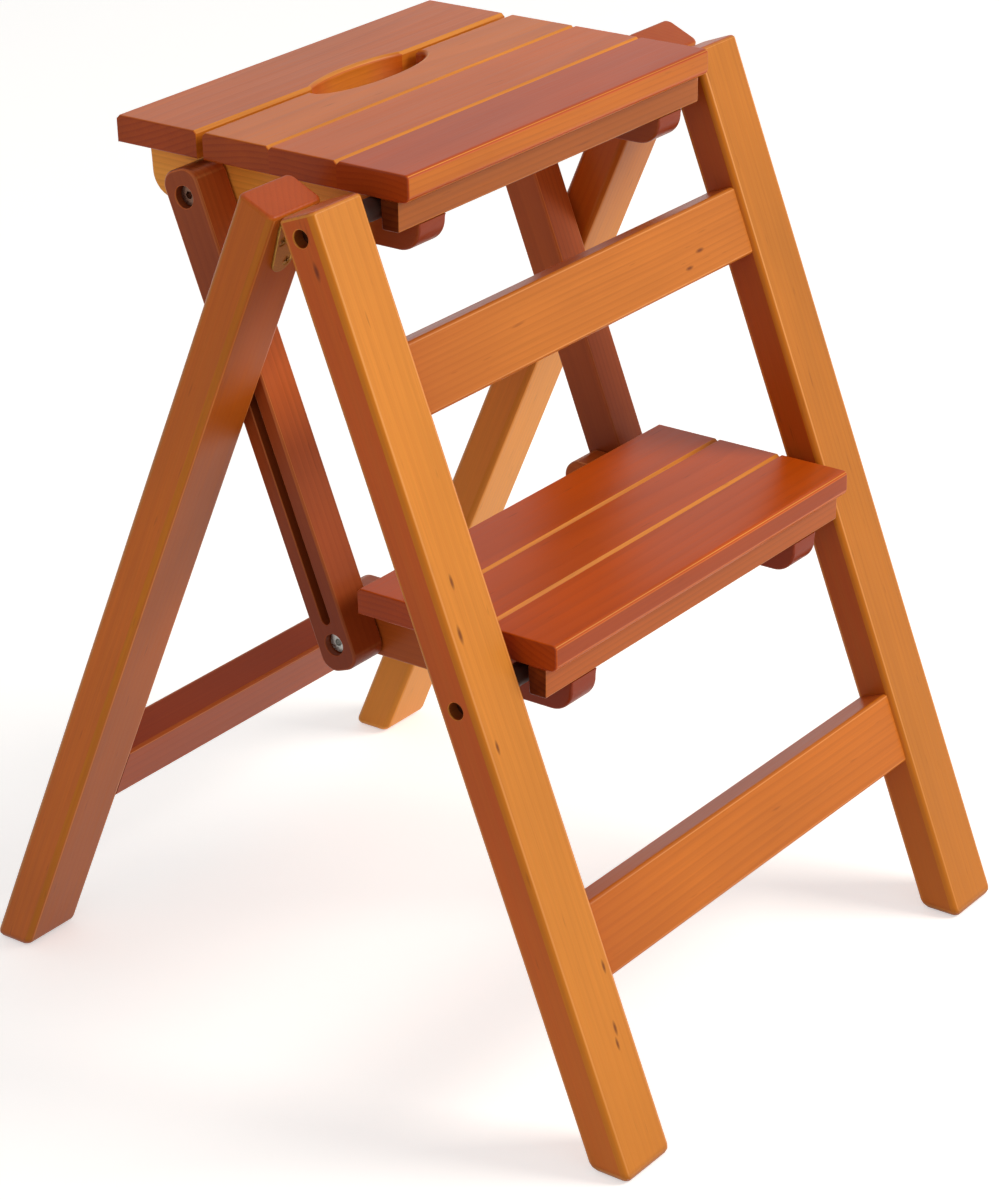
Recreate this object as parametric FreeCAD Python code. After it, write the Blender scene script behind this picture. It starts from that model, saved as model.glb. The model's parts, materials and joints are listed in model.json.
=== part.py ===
# Folding step stool with two wooden treads, carried by a leaning front frame.
# The front of the stool faces -Y and its left side is at -X. Lengths are millimetres, angles degrees.
# The seat and the step turn on bolts through the front legs. Two slotted links join them at the back,
# and the rear frame hangs from hinges at the leg tops with a guide pin on each link's slot.
import FreeCAD, Part
import math
import os

Vector = FreeCAD.Vector

# Frames
overall_width = 372.0
leg_width = 40.0
leg_depth = 24.0
leg_edge_radius = 4.0
leg_top_bevel = 1.6
foot_bevel = 3.2
front_lean = 20.25
rear_lean = 24.5
front_leg_length = 526.0
front_rail_setback = 3.0
front_rail_thickness = 19.0
rail_edge_radius = 2.2
upper_rail_bottom = 408.5
upper_rail_height = 39.0
lower_rail_bottom = 101.0
lower_rail_height = 42.0
rear_rail_setback = 1.0
rear_rail_thickness = 22.0
rear_rail_bottom = 103.5
rear_rail_height = 36.0
tenon_length = 14.0
tenon_thickness = 9.0
tenon_shoulder = 5.0
tenon_clearance = 0.1

# Treads
slat_thickness = 15.0
groove_depth = 1.7
nose_top_radius = 2.5
nose_lower_radius = 4.5
slat_end_bevel = 1.2
seat_side_clearance = 14.0
seat_nose_reach = 25.0
seat_front_slat_width = 46.0
seat_middle_slat_width = 44.5
seat_slat_gap = 4.5
seat_rear_slat_width = 55.0
hand_hole_length = 98.0
hand_hole_width = 34.0
hand_hole_forward = 5.5
hand_hole_rim_bevel = 2.2
step_side_clearance = 8.0
step_nose_reach = 28.0
step_front_slat_width = 45.0
step_middle_slat_width = 42.2
step_rear_slat_width = 42.2
strip_setback = 7.0
strip_depth = 11.0
strip_height = 16.0
batten_width = 22.0
seat_batten_depth = 32.0
step_batten_depth = 34.5
batten_nose_radius = 14.0
batten_edge_bevel = 1.5
seat_batten_rear_inset = 7.5
step_batten_tail = 19.8
step_batten_tail_radius = 10.0

# Pivots
seat_pivot_from_top = 11.5
step_pivot_height = 265.8
seat_pivot_below_slats = 6.5
step_pivot_below_slats = 9.0
link_pivot_reach = 117.0
link_pivot_drop = 12.0
bolt_radius = 3.0
running_clearance = 0.06
fixed_clearance = 0.05
leg_counterbore_radius = 5.0
leg_counterbore_depth = 12.0
leg_bolt_head_radius = 4.6
link_counterbore_radius = 6.0
link_counterbore_depth = 9.0
link_bolt_head_radius = 5.4
bolt_head_thickness = 5.0
socket_width = 4.0
socket_depth = 2.6
nut_width = 10.0
nut_thickness = 5.0
nut_counterbore_radius = 6.4
axial_gap = 0.3
spacer_radius = 6.0

# Links and their guide pins
guide_gap = 5.0
link_width = 24.0
link_depth = 24.0
link_end_reach = 15.0
link_corner_radius = 9.0
link_edge_bevel = 1.4
washer_gap = 1.0
washer_radius = 8.0
slot_width = 6.0
slot_depth = 8.0
slot_end_room = 2.0
guide_pin_radius = 2.5
guide_pin_hold = 16.0
guide_collar_radius = 4.5
guide_collar_thickness = 1.6

# Hinges
hinge_width = 24.0
hinge_end_radius = 8.0
hinge_length = 36.0
hinge_shoulder = 7.0
hinge_leaf_thickness = 1.5
hinge_barrel_radius = 1.9
hinge_pin_radius = 1.1
hinge_below_top = 2.2
hinge_knuckle_width = 9.0
hinge_knuckle_gap = 0.25
hinge_leaf_gap = 0.7
hinge_screw_spacing = 14.5
hinge_screw_first = 14.8
hinge_screw_stagger = 4.0
screw_head_radius = 3.0
screw_shank_radius = 1.5
screw_length = 12.0

# Screws that hold the slats on the battens
slat_screw_radius = 2.0
slat_screw_head_radius = 3.8
slat_screw_head_height = 3.0
slat_screw_bite = 9.0
slat_screw_cover = 13.0

# Places across the stool, worked out from the sizes above
leg_outer = overall_width / 2
leg_inner = leg_outer - leg_width
leg_middle = (leg_outer + leg_inner) / 2
link_outer = leg_inner - guide_gap
link_inner = link_outer - link_width
batten_outer = link_inner - washer_gap
batten_inner = batten_outer - batten_width
batten_middle = (batten_outer + batten_inner) / 2

# Points of the linkage in the side view
x_axis = Vector(1, 0, 0)
up_front = Vector(0, math.sin(math.radians(front_lean)), math.cos(math.radians(front_lean)))
back_front = Vector(0, math.cos(math.radians(front_lean)), -math.sin(math.radians(front_lean)))


def front_point(along, back):
    # A point in the side view, along the front leg from its foot and back from its front face
    return up_front * along + back_front * back


hinge_offset = hinge_leaf_thickness + hinge_leaf_gap
hinge_point = front_point(front_leg_length - hinge_below_top, leg_depth + hinge_offset)
seat_pivot = front_point(front_leg_length - seat_pivot_from_top, leg_depth / 2)
step_pivot = front_point(step_pivot_height, leg_depth / 2)
pivot_arm = Vector(0, link_pivot_reach, -link_pivot_drop)
link_top = seat_pivot + pivot_arm
link_bottom = step_pivot + pivot_arm
link_length = (link_top - link_bottom).Length

front_place = FreeCAD.Placement(Vector(0, 0, 0), FreeCAD.Rotation(x_axis, -front_lean))
front_hinge_place = FreeCAD.Placement(hinge_point, FreeCAD.Rotation(x_axis, -front_lean))
rear_place = FreeCAD.Placement(hinge_point, FreeCAD.Rotation(x_axis, rear_lean))
link_place = FreeCAD.Placement(link_bottom, FreeCAD.Rotation(x_axis, -front_lean))

# The guide pin sits where the middle of the rear leg crosses the middle of the link.
opening_angle = front_lean + rear_lean
link_back = pivot_arm.dot(back_front) + leg_depth / 2
pin_back_offset = hinge_offset + leg_depth / 2
hinge_back = leg_depth + hinge_offset
pin_drop = link_back - hinge_back - pin_back_offset * math.cos(math.radians(opening_angle))
pin_drop = pin_drop / math.sin(math.radians(opening_angle))
pin_up = hinge_point.dot(up_front) - pin_drop * math.cos(math.radians(opening_angle))
pin_up = pin_up + pin_back_offset * math.sin(math.radians(opening_angle))
pin_up_folded = hinge_point.dot(up_front) - pin_drop
link_back_folded = hinge_back + pin_back_offset
arm_angle_open = math.degrees(math.asin((link_back - leg_depth / 2) / pivot_arm.Length))
arm_angle_folded = math.degrees(math.asin((link_back_folded - leg_depth / 2) / pivot_arm.Length))
fold_angle = arm_angle_open - arm_angle_folded
link_bottom_up = link_bottom.dot(up_front)
link_bottom_up_folded = step_pivot.dot(up_front)
link_bottom_up_folded += pivot_arm.Length * math.cos(math.radians(arm_angle_folded))
slot_high = pin_up - link_bottom_up
slot_low = pin_up_folded - link_bottom_up_folded


def prism(outline, low, high):
    # A solid with a side-view outline of (y, z) points, from x = low to x = high
    points = [Vector(low, y, z) for y, z in outline]
    face = Part.Face(Part.makePolygon(points + points[:1]))
    return face.extrude(Vector(high - low, 0, 0))


def block(low, high):
    size = high - low
    return Part.makeBox(size.x, size.y, size.z, low)


def rod(radius, low, high, y, z):
    # A cylinder along X
    return Part.makeCylinder(radius, high - low, Vector(low, y, z), x_axis)


def post(radius, x, y, low, high):
    # A cylinder along Z
    return Part.makeCylinder(radius, high - low, Vector(x, y, low))


def edges_along(shape, direction):
    found = []
    for edge in shape.Edges:
        if len(edge.Vertexes) != 2:
            continue
        span = edge.Vertexes[1].Point - edge.Vertexes[0].Point
        if abs(span.Length - edge.Length) < 1e-6 and abs(span.dot(direction)) > 0.9999 * span.Length:
            found.append(edge)
    return found


def edges_at(shape, direction, y, z):
    # The straight edges along X or Y that pass through a given place in the other two axes
    found = []
    for edge in edges_along(shape, direction):
        place = edge.Vertexes[0].Point
        if abs(place.z - z) < 1e-4 and (direction.y or abs(place.y - y) < 1e-4):
            found.append(edge)
    return found


def highest_face(shape):
    return max(shape.Faces, key=lambda face: face.CenterOfMass.z)


def lowest_face(shape):
    return min(shape.Faces, key=lambda face: face.CenterOfMass.z)


def placed(shape, placement):
    moved = shape.copy()
    moved.Placement = placement.multiply(moved.Placement)
    return moved


def mirrored(shape):
    return shape.mirror(Vector(0, 0, 0), x_axis)


def leg_bar(front, foot_height, top):
    # A leg standing along Z, its front face at y = front, its foot cut to lie flat on the floor
    back = front + leg_depth
    outline = [(front, foot_height(front)), (back, foot_height(back)), (back, top), (front, top)]
    bar = prism(outline, leg_inner, leg_outer)
    bar = bar.makeFillet(leg_edge_radius, edges_along(bar, Vector(0, 0, 1)))
    bar = bar.makeChamfer(leg_top_bevel, highest_face(bar).Edges)
    return bar.makeChamfer(foot_bevel, lowest_face(bar).Edges)


def mortise(front, thickness, bottom, height):
    # The pocket in a leg's inner face for a rail's tenon
    thickness_inset = (thickness - tenon_thickness) / 2
    low = Vector(leg_inner - 1, front + thickness_inset, bottom + tenon_shoulder)
    high = Vector(
        leg_inner + tenon_length + 1,
        front + thickness_inset + tenon_thickness,
        bottom + height - tenon_shoulder,
    )
    grow = Vector(0, tenon_clearance, tenon_clearance)
    return block(low - grow, high + grow)


def rail(front, thickness, bottom, height):
    # A cross rail between the legs, with a tenon at each end
    body = block(Vector(-leg_inner, front, bottom), Vector(leg_inner, front + thickness, bottom + height))
    body = body.makeFillet(rail_edge_radius, edges_along(body, x_axis))
    thickness_inset = (thickness - tenon_thickness) / 2
    tenon_reach = leg_inner + tenon_length
    tenon = block(
        Vector(-tenon_reach, front + thickness_inset, bottom + tenon_shoulder),
        Vector(tenon_reach, front + thickness_inset + tenon_thickness, bottom + height - tenon_shoulder),
    )
    return body.fuse(tenon).removeSplitter()


def hinge_screw_places():
    # Each screw's place across and down the leaf, measured from the barrel
    first = (leg_middle - hinge_screw_stagger, -hinge_screw_first)
    second = (leg_middle + hinge_screw_stagger, -hinge_screw_first - hinge_screw_spacing)
    return [first, second]


def hinge_screw(x, z, facing, clearance):
    # A countersunk screw through the leaf into the leg; facing is +1 where the leg lies towards +Y
    head = hinge_offset - hinge_leaf_thickness
    shank = Part.makeCylinder(
        screw_shank_radius + clearance,
        screw_length,
        Vector(x, facing * head, z),
        Vector(0, facing, 0),
    )
    cone = Part.makeCone(
        screw_head_radius + clearance,
        screw_shank_radius + clearance,
        hinge_leaf_thickness,
        Vector(x, facing * head, z),
        Vector(0, facing, 0),
    )
    return cone.fuse(shank).removeSplitter()


def hinge_screws(facing, clearance=0.0):
    return [hinge_screw(x, z, facing, clearance) for x, z in hinge_screw_places()]


def front_leg():
    def foot_height(back):
        return back * math.tan(math.radians(front_lean))

    leg = leg_bar(0, foot_height, front_leg_length)
    cuts = [
        mortise(front_rail_setback, front_rail_thickness, upper_rail_bottom, upper_rail_height),
        mortise(front_rail_setback, front_rail_thickness, lower_rail_bottom, lower_rail_height),
    ]
    for along in (front_leg_length - seat_pivot_from_top, step_pivot_height):
        cuts.append(rod(bolt_radius + fixed_clearance, leg_inner - 1, leg_outer + 1, leg_depth / 2, along))
        seat = leg_outer - leg_counterbore_depth
        cuts.append(rod(leg_counterbore_radius, seat, leg_outer + 1, leg_depth / 2, along))
    leg = leg.cut(cuts)
    leg = placed(leg, front_place)
    return leg.cut([placed(hole, front_hinge_place) for hole in hinge_screws(-1, fixed_clearance)])


def rear_leg():
    def foot_height(back):
        rise = hinge_point.z + back * math.sin(math.radians(rear_lean))
        return -rise / math.cos(math.radians(rear_lean))

    leg = leg_bar(hinge_offset, foot_height, hinge_below_top)
    pin_y = hinge_offset + leg_depth / 2
    cuts = [mortise(hinge_offset + rear_rail_setback, rear_rail_thickness, rear_rail_place(), rear_rail_height)]
    pin_end = leg_inner + guide_pin_hold
    cuts.append(rod(guide_pin_radius + fixed_clearance, leg_inner - 1, pin_end, pin_y, -pin_drop))
    leg = leg.cut(cuts + hinge_screws(1, fixed_clearance))
    return placed(leg, rear_place)


def rear_rail_place():
    # The rail's lower edge, measured down the rear leg from the hinge
    leg_run = hinge_point.z / math.cos(math.radians(rear_lean))
    return rear_rail_bottom - leg_run


def hinge_leaf(facing, keeps_middle):
    # A leaf in the hinge's own frame: barrel along X through the origin, plate hanging below it
    half = hinge_width / 2
    straight = -hinge_shoulder
    end_centre = -(hinge_length - hinge_end_radius)
    side = Part.makePolygon([
        Vector(-hinge_end_radius, 0, end_centre),
        Vector(-half, 0, straight),
        Vector(-half, 0, 0),
        Vector(half, 0, 0),
        Vector(half, 0, straight),
        Vector(hinge_end_radius, 0, end_centre),
    ])
    tip = Part.Arc(
        Vector(hinge_end_radius, 0, end_centre),
        Vector(0, 0, -hinge_length),
        Vector(-hinge_end_radius, 0, end_centre),
    )
    plate = Part.Face(Part.Wire(side.Edges + [tip.toShape()]))
    plate = plate.extrude(Vector(0, hinge_leaf_thickness, 0))
    plate_low = hinge_offset - hinge_leaf_thickness if facing > 0 else -hinge_offset
    plate.translate(Vector(leg_middle, plate_low, 0))
    half_knuckle = hinge_knuckle_width / 2
    clear_radius = hinge_barrel_radius + hinge_knuckle_gap
    middle = (leg_middle - half_knuckle, leg_middle + half_knuckle)
    left = (leg_middle - half, middle[0])
    right = (middle[1], leg_middle + half)
    own = [middle] if keeps_middle else [left, right]
    others = [left, right] if keeps_middle else [middle]
    leaf = plate
    for low, high in own:
        leaf = leaf.fuse(rod(hinge_barrel_radius, low, high, 0, 0))
    for low, high in others:
        notch_low = Vector(low - hinge_knuckle_gap, -hinge_offset - 1, -clear_radius)
        notch_high = Vector(high + hinge_knuckle_gap, hinge_offset + 1, 1)
        leaf = leaf.cut(block(notch_low, notch_high))
    reach = half + 1
    bore = rod(hinge_pin_radius + running_clearance, leg_middle - reach, leg_middle + reach, 0, 0)
    return leaf.cut([bore] + hinge_screws(facing, fixed_clearance)).removeSplitter()


def hinge_pin():
    return rod(hinge_pin_radius, leg_middle - hinge_width / 2, leg_middle + hinge_width / 2, 0, 0)


def hexagon(width, low, high, y, z):
    # A hexagonal prism along X, its flats a given width apart
    corner = width / math.sqrt(3)
    outline = []
    for number in range(6):
        turn = math.radians(60 * number)
        outline.append((y + corner * math.cos(turn), z + corner * math.sin(turn)))
    return prism(outline, low, high)


def bolt(head_seat, end, head_radius, y, z):
    # A bolt along X whose head lies outboard of head_seat, with a hexagon socket
    head_end = head_seat + bolt_head_thickness
    head = rod(head_radius, head_seat, head_end, y, z)
    socket = hexagon(socket_width, head_end - socket_depth, head_end + 1, y, z)
    shank = rod(bolt_radius, end, head_seat, y, z)
    return head.cut(socket).fuse(shank).removeSplitter()


def nut(y, z):
    low = batten_inner
    body = hexagon(nut_width, low, low + nut_thickness, y, z)
    return body.cut(rod(bolt_radius + fixed_clearance, low - 1, low + nut_thickness + 1, y, z))


def pivot_bolt(pivot):
    return bolt(leg_outer - leg_counterbore_depth, batten_inner, leg_bolt_head_radius, pivot.y, pivot.z)


def pivot_spacer(pivot):
    # The sleeve on a pivot bolt that holds a batten away from the leg
    low = batten_outer + axial_gap
    sleeve = rod(spacer_radius, low, leg_inner, pivot.y, pivot.z)
    return sleeve.cut(rod(bolt_radius + fixed_clearance, low - 1, leg_inner + 1, pivot.y, pivot.z))


def link_bolt(pivot):
    return bolt(link_outer - link_counterbore_depth, batten_inner, link_bolt_head_radius, pivot.y, pivot.z)


def link_washer(pivot):
    low = batten_outer + axial_gap
    washer = rod(washer_radius, low, link_inner, pivot.y, pivot.z)
    return washer.cut(rod(bolt_radius + fixed_clearance, low - 1, link_inner + 1, pivot.y, pivot.z))


def link():
    # A bar with rounded ends, a bolt hole at each end and a blind slot in its outer face
    half = link_depth / 2
    top = link_length + link_end_reach
    bar = block(Vector(link_inner, -half, -link_end_reach), Vector(link_outer, half, top))
    corners = edges_along(bar, x_axis)
    bar = bar.makeFillet(link_corner_radius, corners)
    outline = [edge for face in bar.Faces for edge in face.Edges if is_side_face(face)]
    bar = bar.makeChamfer(link_edge_bevel, outline)
    cuts = []
    for along in (0, link_length):
        cuts.append(rod(bolt_radius + fixed_clearance, link_inner - 1, link_outer + 1, 0, along))
        cuts.append(rod(link_counterbore_radius, link_outer - link_counterbore_depth, link_outer + 1, 0, along))
    low = slot_low - slot_end_room
    high = slot_high + slot_end_room
    floor = link_outer - slot_depth
    slot = block(Vector(floor, -slot_width / 2, low), Vector(link_outer + 1, slot_width / 2, high))
    for end in (low, high):
        slot = slot.fuse(rod(slot_width / 2, floor, link_outer + 1, 0, end))
    cuts.append(slot)
    return placed(bar.cut(cuts), link_place)


def is_side_face(face):
    # True for a flat face that looks along X
    return face.BoundBox.XLength < 1e-6


def guide_pin():
    # A steel pin in the rear leg with a collar; its free end stops short of the link's slot
    y = hinge_offset + leg_depth / 2
    pin = rod(guide_pin_radius, link_outer + axial_gap, leg_inner + guide_pin_hold, y, -pin_drop)
    collar = rod(guide_collar_radius, leg_inner - guide_collar_thickness, leg_inner, y, -pin_drop)
    return placed(pin.fuse(collar).removeSplitter(), rear_place)


def batten(front, rear, top, depth, pivots, screws, tail_radius):
    # A batten under a tread: notched in front for the strip, with rounded lower corners
    bottom = top - depth
    notch_floor = top - strip_height
    notch_back = front + strip_depth
    outline = [
        (front, bottom),
        (rear, bottom),
        (rear, top),
        (notch_back, top),
        (notch_back, notch_floor),
        (front, notch_floor),
    ]
    body = prism(outline, batten_inner, batten_outer)
    body = body.makeFillet(batten_nose_radius, edges_at(body, x_axis, front, bottom))
    body = body.makeFillet(batten_nose_radius, edges_at(body, x_axis, rear, bottom))
    if tail_radius:
        body = body.makeFillet(tail_radius, edges_at(body, x_axis, rear, top))
    body = body.makeChamfer(batten_edge_bevel, edges_at(body, Vector(0, 1, 0), 0, bottom))
    cuts = []
    for pivot in pivots:
        cuts.append(rod(bolt_radius + running_clearance, batten_inner - 1, batten_outer + 1, pivot.y, pivot.z))
        nut_floor = batten_inner + nut_thickness + axial_gap
        cuts.append(rod(nut_counterbore_radius, batten_inner - 1, nut_floor, pivot.y, pivot.z))
    for y in screws:
        cuts.append(slat_screw(y, top, fixed_clearance))
        pocket = slat_screw_head_radius + fixed_clearance
        cuts.append(post(pocket, batten_middle, y, bottom - 1, top - slat_screw_cover))
    return body.cut(cuts)


def slat_screw(y, top, clearance=0.0):
    # A screw up through the batten into a slat, its head deep in the batten
    seat = top - slat_screw_cover
    head = post(slat_screw_head_radius + clearance, batten_middle, y, seat - slat_screw_head_height, seat)
    shank = post(slat_screw_radius + clearance, batten_middle, y, seat, top + slat_screw_bite)
    return head.fuse(shank).removeSplitter()


def slat(half_length, front, rear, bottom, screws, nose=False):
    # A tread slat; its long top edges are bevelled so that two side by side form a V groove
    top = bottom + slat_thickness
    body = block(Vector(-half_length, front, bottom), Vector(half_length, rear, top))
    body = body.makeChamfer(groove_depth, edges_at(body, x_axis, rear, top))
    if nose:
        body = body.makeFillet(nose_top_radius, edges_at(body, x_axis, front, top))
        body = body.makeFillet(nose_lower_radius, edges_at(body, x_axis, front, bottom))
    else:
        body = body.makeChamfer(groove_depth, edges_at(body, x_axis, front, top))
    ends = edges_at(body, Vector(0, 1, 0), 0, top)
    body = body.makeChamfer(slat_end_bevel, ends)
    holes = []
    for y in screws:
        hole = slat_screw(y, bottom, fixed_clearance)
        holes.extend([hole, mirrored(hole)])
    return body.cut(holes)


def hand_hole(centre, bottom):
    # The oval opening, a little more of it in the slat in front of the gap
    oval = Part.Ellipse(Vector(0, centre, bottom - 1), hand_hole_length / 2, hand_hole_width / 2)
    face = Part.Face(Part.Wire(oval.toShape()))
    return face.extrude(Vector(0, 0, slat_thickness + 2))


def with_hand_hole(body, centre, bottom):
    cut = body.cut(hand_hole(centre, bottom))
    top = bottom + slat_thickness
    rim = []
    for edge in cut.Edges:
        box = edge.BoundBox
        is_oval = abs(edge.Length - box.DiagonalLength) > 0.5 and box.XLength > hand_hole_width
        if is_oval and box.ZLength < 0.01 and abs(box.ZMax - top) < 0.01:
            rim.append(edge)
    return cut.makeChamfer(hand_hole_rim_bevel, rim)


def front_strip(half_length, front, top):
    low = Vector(-half_length, front, top - strip_height)
    body = block(low, Vector(half_length, front + strip_depth, top))
    return body.makeChamfer(slat_end_bevel, edges_at(body, x_axis, front, top - strip_height))


def tread(name, pivot, below_slats, half_length, nose_reach, widths, gaps, batten_form):
    # The slats, strip, battens and screws of the seat or the step, by node name
    bottom = pivot.z + below_slats
    front = pivot.y - nose_reach
    places = []
    edge = front
    for width, gap in zip(widths, gaps):
        places.append((edge, edge + width))
        edge = edge + width + gap
    screws = [(low + high) / 2 for low, high in places[1:]]
    pieces = {}
    names = slat_names(len(places))
    for number, (low, high) in enumerate(places):
        piece = slat(half_length, low, high, bottom, screws[max(number - 1, 0):number], nose=(number == 0))
        pieces[name + "_slat_" + names[number]] = piece
    strip_front = front + strip_setback
    pieces[name + "_front_strip"] = front_strip(half_length, strip_front, bottom)
    pivots = [pivot, pivot + pivot_arm]
    depth, rear_end, tail_radius = batten_form
    right = batten(strip_front, rear_end, bottom, depth, pivots, screws, tail_radius)
    pieces[name + "_batten_right"] = right
    pieces[name + "_batten_left"] = mirrored(right)
    right_screws = [slat_screw(y, bottom) for y in screws]
    pieces[name + "_slat_screws"] = right_screws + [mirrored(screw) for screw in right_screws]
    return pieces, places, bottom


def slat_names(count):
    # Names from the front slat to the rear one
    middle = ["middle"] if count == 3 else ["middle_front", "middle_rear"]
    return ["front"] + middle + ["rear"]


def seat_parts():
    widths = [seat_front_slat_width, seat_middle_slat_width, seat_middle_slat_width, seat_rear_slat_width]
    gaps = [0, 0, seat_slat_gap, 0]
    half_length = leg_inner - seat_side_clearance
    rear_end = seat_pivot.y - seat_nose_reach + sum(widths) + sum(gaps) - seat_batten_rear_inset
    batten_form = (seat_batten_depth, rear_end, 0)
    pieces, places, bottom = tread(
        "seat", seat_pivot, seat_pivot_below_slats, half_length, seat_nose_reach, widths, gaps, batten_form
    )
    centre = (places[2][1] + places[3][0]) / 2 - hand_hole_forward
    for node in ("seat_slat_middle_rear", "seat_slat_rear"):
        pieces[node] = with_hand_hole(pieces[node], centre, bottom)
    return pieces


def step_parts():
    widths = [step_front_slat_width, step_middle_slat_width, step_rear_slat_width]
    half_length = leg_inner - step_side_clearance
    rear_end = step_pivot.y + link_pivot_reach + step_batten_tail
    gaps = [0, 0, 0]
    batten_form = (step_batten_depth, rear_end, step_batten_tail_radius)
    pieces, places, bottom = tread(
        "step", step_pivot, step_pivot_below_slats, half_length, step_nose_reach, widths, gaps, batten_form
    )
    return pieces


def both_sides(name, shape, found):
    found[name + "_right"] = shape
    found[name + "_left"] = mirrored(shape)


def both_pieces(shape):
    return [shape, mirrored(shape)]


def frame_parts():
    # The front frame, the rear frame and the hinges between them
    found = {}
    both_sides("front_leg", front_leg(), found)
    upper = rail(front_rail_setback, front_rail_thickness, upper_rail_bottom, upper_rail_height)
    lower = rail(front_rail_setback, front_rail_thickness, lower_rail_bottom, lower_rail_height)
    found["front_rail_upper"] = placed(upper, front_place)
    found["front_rail_lower"] = placed(lower, front_place)
    both_sides("rear_leg", rear_leg(), found)
    rear = rail(hinge_offset + rear_rail_setback, rear_rail_thickness, rear_rail_place(), rear_rail_height)
    found["rear_rail"] = placed(rear, rear_place)
    both_sides("hinge_leaf_front", placed(hinge_leaf(-1, False), front_hinge_place), found)
    both_sides("hinge_leaf_rear", placed(hinge_leaf(1, True), rear_place), found)
    found["hinge_pins"] = both_pieces(placed(hinge_pin(), front_hinge_place))
    front_screws = [placed(screw, front_hinge_place) for screw in hinge_screws(-1)]
    rear_screws = [placed(screw, rear_place) for screw in hinge_screws(1)]
    found["hinge_screws_front"] = front_screws + [mirrored(screw) for screw in front_screws]
    found["hinge_screws_rear"] = rear_screws + [mirrored(screw) for screw in rear_screws]
    found["guide_pins"] = both_pieces(guide_pin())
    return found


def pivot_parts():
    # Bolts, nuts, spacers and washers of the eight pivots
    found = {"pivot_bolts": [], "pivot_spacers": [], "pivot_nuts": []}
    for pivot in (seat_pivot, step_pivot):
        found["pivot_bolts"].extend(both_pieces(pivot_bolt(pivot)))
        found["pivot_spacers"].extend(both_pieces(pivot_spacer(pivot)))
        found["pivot_nuts"].extend(both_pieces(nut(pivot.y, pivot.z)))
    both_sides("link", link(), found)
    ends = [link_bottom, link_top]
    for name, maker in (("bolts", link_bolt), ("washers", link_washer)):
        right = [maker(end) for end in ends]
        found["link_" + name + "_right"] = right
        found["link_" + name + "_left"] = [mirrored(piece) for piece in right]
    right = [nut(end.y, end.z) for end in ends]
    found["link_nuts_right"] = right
    found["link_nuts_left"] = [mirrored(piece) for piece in right]
    return found


def export(parts):
    # One file per node, with the origin on the floor under the middle of the standing stool
    os.makedirs("parts", exist_ok=True)
    whole = {}
    for node, shape in parts.items():
        whole[node] = Part.makeCompound(shape) if isinstance(shape, list) else shape
    box = Part.makeCompound(list(whole.values())).optimalBoundingBox(False, False)
    shift = Vector(-box.Center.x, -box.Center.y, -box.ZMin)
    for node, shape in whole.items():
        shape.translated(shift).exportStep("parts/" + node + ".step")
    print("size", round(box.XLength, 2), round(box.YLength, 2), round(box.ZLength, 2))
    for name, point in (
        ("hinge", hinge_point),
        ("seat_pivot", seat_pivot),
        ("step_pivot", step_pivot),
        ("link_top", link_top),
        ("link_bottom", link_bottom),
    ):
        place = point + shift
        print(name, round(place.y, 4), round(place.z, 4))
    print("fold_angle", round(fold_angle, 4), "opening_angle", round(opening_angle, 4))
    print("shift", round(shift.y, 4), round(shift.z, 4))
    print("slot", round(slot_low, 2), round(slot_high, 2), "pin_drop", round(pin_drop, 2))


all_parts = {}
all_parts.update(frame_parts())
all_parts.update(pivot_parts())
all_parts.update(seat_parts())
all_parts.update(step_parts())
export(all_parts)
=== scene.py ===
import json
import math
import bmesh
import bpy
import numpy as np
from mathutils import Matrix, Vector


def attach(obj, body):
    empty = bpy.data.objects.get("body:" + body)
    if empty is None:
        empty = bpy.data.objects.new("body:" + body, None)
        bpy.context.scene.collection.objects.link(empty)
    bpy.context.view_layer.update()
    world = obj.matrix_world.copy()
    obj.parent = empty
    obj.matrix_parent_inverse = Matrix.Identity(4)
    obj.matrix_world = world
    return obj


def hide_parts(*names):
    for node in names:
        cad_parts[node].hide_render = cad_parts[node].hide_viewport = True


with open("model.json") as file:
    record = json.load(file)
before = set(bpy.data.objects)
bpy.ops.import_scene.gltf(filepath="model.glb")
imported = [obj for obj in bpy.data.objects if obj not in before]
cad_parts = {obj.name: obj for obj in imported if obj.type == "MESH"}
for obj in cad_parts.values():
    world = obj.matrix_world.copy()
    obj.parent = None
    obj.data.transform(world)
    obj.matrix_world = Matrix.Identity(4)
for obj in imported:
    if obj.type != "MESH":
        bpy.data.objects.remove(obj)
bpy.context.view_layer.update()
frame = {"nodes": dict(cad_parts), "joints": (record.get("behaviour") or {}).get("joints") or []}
mm = 0.001
sides = {"left": -1, "right": 1}

# Places that every piece is measured from, in millimetres. The pivots are the frame's own joints
lean = {"front": 20.25, "rear": 24.5}  # degrees from upright
jointPlace = {j["name"]: np.array(j["pos_m"]) / mm for j in frame["joints"]}
seatPivot = jointPlace["seat_fold"]
stepPivot = jointPlace["step_fold"]
linkTop = jointPlace["link_left_swing"] * (0, 1, 1)
linkBottom = linkTop - seatPivot + stepPivot
hingePoint = jointPlace["rear_frame_fold"]
hingeAbove = hingePoint[2] / math.cos(math.radians(lean["rear"]))  # from the floor up along the rear legs
frontUp = np.array([0, math.sin(math.radians(lean["front"])), math.cos(math.radians(lean["front"]))])
frontBack = np.array([0, frontUp[2], -frontUp[1]])
legTop = 526.0  # length of a front leg along its front face
pivotInLeg = (11.5, 12.0)  # the seat's pivot lies this far below the leg's top and behind its front face
frontOrigin = seatPivot - frontUp * (legTop - pivotInLeg[0]) - frontBack * pivotInLeg[1]
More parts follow.
